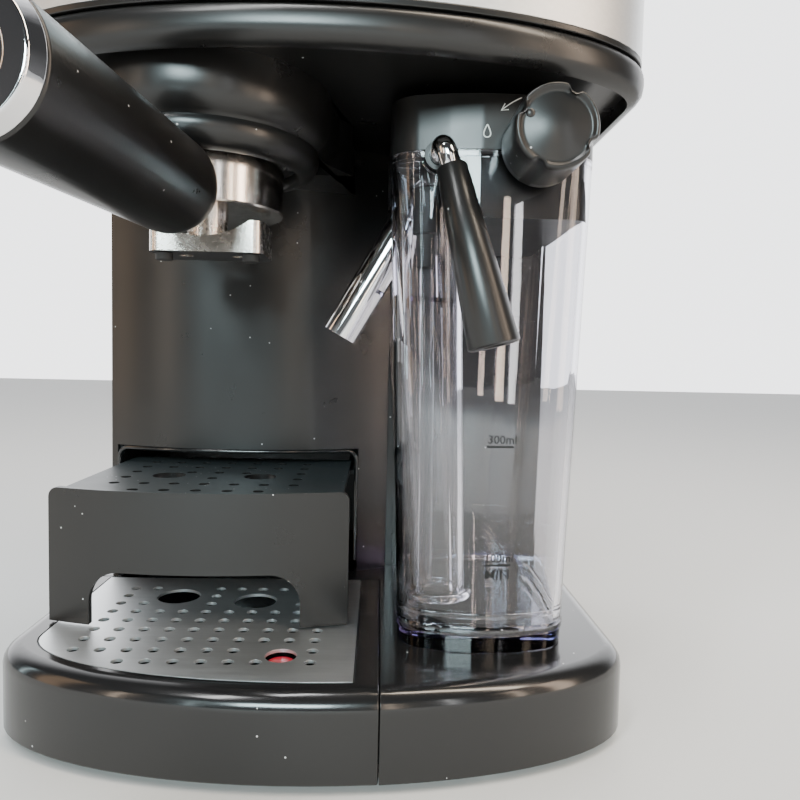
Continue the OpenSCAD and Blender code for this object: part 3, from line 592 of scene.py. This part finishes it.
def strip(name, line, width, node, material, lift=0.1):
    """A printed line of even width through points given as x, z."""
    points, faces = [], []
    for i, (x, z) in enumerate(line):
        before, after = line[max(i - 1, 0)], line[min(i + 1, len(line) - 1)]
        dx, dz = after[0] - before[0], after[1] - before[1]
        size = math.hypot(dx, dz) or 1
        nx, nz = -dz / size * width / 2, dx / size * width / 2
        points += [(x + nx, 0, z + nz), (x - nx, 0, z - nz)]
        if i:
            faces.append((2 * i - 2, 2 * i - 1, 2 * i + 1, 2 * i))
    piece = mesh_piece("v_" + name, points, faces)
    on_front(piece, lift)
    piece.data.materials.append(material)
    return place_piece(piece, node, replaces=False)


def make_prints(ink, white):
    """The tank's graduations and the small marks on its lid."""
    for z, words in ((105.7, "300ml"), (63.0, "100ml")):
        strip(f"line_{words}", [(59.9 + 0.8 * i, z) for i in range(13)], 0.7, "milk_tank", ink)
        lettering(f"figures_{words}", words, 60.0, z + 1.2, 3.1, 0.14, "milk_tank", ink)
    lettering("minimum", "MIN", 60.2, 57.9, 3.7, 0.14, "milk_tank", ink)
    drop = [(56.7 + 1.35 * math.sin(a) * (0.62 + 0.38 * math.cos(a)) * 1.25, 215.0 - 1.9 * math.cos(a)
             + 0.4 * (1 - math.cos(a)) ** 2 * 0.25) for a in (math.tau * k / 28 for k in range(29))]
    strip("mark_drop", drop, 0.42, "milk_lid", white, 0.12)
    arrow = [(61.3 + 7.1 * t, 222.2 + 4.6 * t + 1.5 * t * (1 - t)) for t in (k / 10 for k in range(11))]
    strip("mark_arrow", arrow, 0.35, "milk_lid", white, 0.12)
    strip("mark_arrow_head", [(62.6, 224.6), (61.3, 222.2), (63.9, 222.6)], 0.35, "milk_lid", white,
          0.12)


def tank_outline(z, out):
    """The milk tank's outline at a height, moved outwards by a distance, in millimetres."""
    left, right = tank_sides(z)
    middle, half = (left + right) / 2, (right - left) / 2 - FRONT_CORNER
    corner_y = TANK_FRONT + TANK_BULGE + FRONT_CORNER

    def corner(x, y, radius, start, steps):
        turns = (math.radians(start + 90 * k / steps) for k in range(steps + 1))
        return [(x + (radius + out) * math.cos(a), y + (radius + out) * math.sin(a), z)
                for a in turns]

    points = corner(left + FRONT_CORNER, corner_y, FRONT_CORNER, 180, 8)
    for k in range(1, 16):
        t = -1 + k / 8
        points.append((middle + t * half, TANK_FRONT + TANK_BULGE * t * t - out, z))
    points += corner(right - FRONT_CORNER, corner_y, FRONT_CORNER, 270, 8)
    points += corner(right - REAR_CORNER, REAR_CORNER_Y, REAR_CORNER, 0, 6)
    points += corner(left + REAR_CORNER, REAR_CORNER_Y, REAR_CORNER, 90, 6)
    return points


def hoop(name, rings):
    """A closed band: rings of equally many points, the last joined to the first."""
    count, total = len(rings[0]), len(rings)
    faces = []
    for i in range(total):
        for k in range(count):
            a, b = i * count, (i + 1) % total * count
            faces.append((a + k, a + (k + 1) % count, b + (k + 1) % count, b + k))
    return mesh_piece(name, [p for ring in rings for p in ring], faces)


def turned(name, centre, profile, count=96):
    """A closed profile of radius and height pairs turned about an upright axis."""
    return hoop(name, [[(centre[0] + r * math.cos(math.tau * k / count),
                         centre[1] + r * math.sin(math.tau * k / count), z) for k in range(count)]
                       for r, z in profile])


def make_tank_details():
    """The stepped skirt round the milk tank's foot and the ring its inner tube stands in."""
    for name, low, high, out in (("skirt", 36.6, 40.2, 0.7), ("step", 43.2, 44.8, 0.35),
                                 ("lip", 206.6, 208.8, 0.1)):
        section = ((-0.8, low), (out * 0.7, low), (out, low + 0.4), (out, high - 0.5),
                   (out * 0.6, high), (-0.8, high))
        band = hoop("v_tank_" + name, [tank_outline(z, o) for o, z in section])
        soften(band, 0, angle=50)
        place_piece(band, "milk_tank", replaces=False)
    ring = turned("v_tank_ring", (45.3, -60), [(11.6 + 1.3 * math.cos(a), 47.6 + 1.5 * math.sin(a))
                                               for a in (math.tau * k / 12 for k in range(12))], 64)
    soften(ring, 0, angle=50)
    place_piece(ring, "milk_tank", replaces=False)


# ---- brewing group ----

GROUP = (-45.5, -51.0)


def shroud_outline(r, z, back=18.0):
    points = [(-95.0, back, z)]
    for k in range(65):
        a = math.radians(178 + 184 * k / 64)
        points.append((GROUP[0] + r * math.cos(a), GROUP[1] + r * math.sin(a), z))
    points.append((8.2, back, z))
    return points


def make_shroud():
    """The rounded housing of the group, blended back to the column, and its rolled lower lip."""
    outer = ((46.4, 234), (46.4, 225), (46.2, 222.5), (45.7, 220), (44.8, 217.8), (43.6, 216.2),
             (42.4, 215.2), (41.6, 214.4), (41.0, 213.4))
    rings = [shroud_outline(r, z) for r, z in outer]
    rings += [shroud_outline(37, z, -20) for z in (213.4, 234)]
    body = hoop("v_shroud_body", rings)
    soften(body, 0, angle=50)
    place_piece(body, "group_shroud")
    lip = [(35 + 7 * math.cos(a), 211.5 + 7 * math.sin(a))
           for a in (math.radians(-90 + 95 * k / 14) for k in range(15))]
    lip += [(41.8, 213.0), (41.4, 213.9), (38, 214.2), (36.7, 213.6), (36.6, 209.2), (33.6, 209.0),
            (33.6, 205.4), (34.1, 204.7)]
    rolled = turned("v_shroud_lip", GROUP, lip)
    soften(rolled, 0, angle=50)
    place_piece(rolled, "group_shroud", replaces=False)


# ---- column ----

def column_front(x):
    """y of the column's curved front, in millimetres."""
    return 155.5 - math.sqrt(150.0 ** 2 - (x + 45.5) ** 2)


def make_recess_rim():
    """The raised, round-cornered edge of the cup tray's recess."""
    left, right, low, high, corner = -103.6, 11.0, 36.4, 90.6, 5.0
    path = [(left, low), (left, high - corner)]
    path += [(left + corner - corner * math.cos(a), high - corner + corner * math.sin(a))
             for a in (math.pi / 2 * k / 8 for k in range(9))]
    path += [(left + corner + (right - left - 2 * corner) * k / 24, high) for k in range(1, 24)]
    path += [(right - corner + corner * math.sin(a), high - corner + corner * math.cos(a))
             for a in (math.pi / 2 * k / 8 for k in range(9))]
    path += [(right, low)]
    rings = []
    for i, (x, z) in enumerate(path):
        before, after = path[max(i - 1, 0)], path[min(i + 1, len(path) - 1)]
        dx, dz = after[0] - before[0], after[1] - before[1]
        size = math.hypot(dx, dz)
        nx, nz = -dz / size, dx / size
        y = column_front(x)
        rings.append([(x + nx * a, y + b, z + nz * a) for a, b in
                      ((1.0, 0.6), (1.0, -0.3), (0.6, -0.8), (-0.2, -0.9), (-0.8, -0.6), (-1.0, 0.2),
                       (-1.0, 3.0), (1.0, 3.0))])
    rim = loft("v_recess_rim", rings)
    soften(rim, 0, angle=60)
    place_piece(rim, "cup_recess", MATERIALS["black_gloss"], replaces=False)


# width in millimetres of each node's rounded edges; 0 keeps the CAD mesh as it is
EDGE_WIDTHS = {
    "base_deck": 0.5, "drip_tray": 0.5, "cup_tray": 0.5, "drip_grid": 0.35, "column_shell": 0.8,
    "head_base": 0.6, "portafilter_bowl": 0.8, "spout_box": 0.7,
    "spout_feet": 0.5, "milk_tank": 0.5, "milk_lid": 0.7,
    "portafilter_handle": 0.8, "handle_cap": 0.6, "tank_lid": 0.8, "water_tank": 0.5,
    "suction_tube": 0.3, "milk_spout": 0.3, "feet": 0.8, "tube_holder": 0.6, "rear_cover": 0.0,
}

USUAL_EDGE = 0.3

dress_cad_nodes()
make_stage()
make_camera()

OWN_SHAPES = ("lever_elbow", "lever_grip", "froth_knob", "group_shroud")
make_shroud()
make_tank_details()
make_lever()
make_knob()
make_recess_rim()
make_prints(moulded("ink_dark", (0.004, 0.004, 0.005), (0.008, 0.008, 0.009), (0.7, 0.9)),
            moulded("ink_white", (0.7, 0.7, 0.67), (0.78, 0.78, 0.75), (0.5, 0.7)))
SHAPED = {name: refined(name, EDGE_WIDTHS.get(name, USUAL_EDGE))
          for name in sorted(set(frame["nodes"]) - set(OWN_SHAPES))}
# The cup tray's upward faces get a lighter, cool-tinted black: painted light on its top, with real dust
# specks scattered over it.
coat(SHAPED["cup_tray"], moulded("black_dust_and_painted_top_light", (0.03, 0.038, 0.041), (0.065, 0.075, 0.08), (0.34, 0.5),
                                 dust=0.35), (0, 0, 1))
# The spout box's downward faces get the dark inner material: painted shade under the box.
coat(SHAPED["spout_box"], MATERIALS["dark_inner"], (0, 0, -1))
SHAPED["portafilter_bowl"].data.materials[0] = cast("bowl_metal", (0.92, 0.88, 0.84), (0.62, 0.58, 0.55),
                                                    (0.12, 0.26), 0.00003)
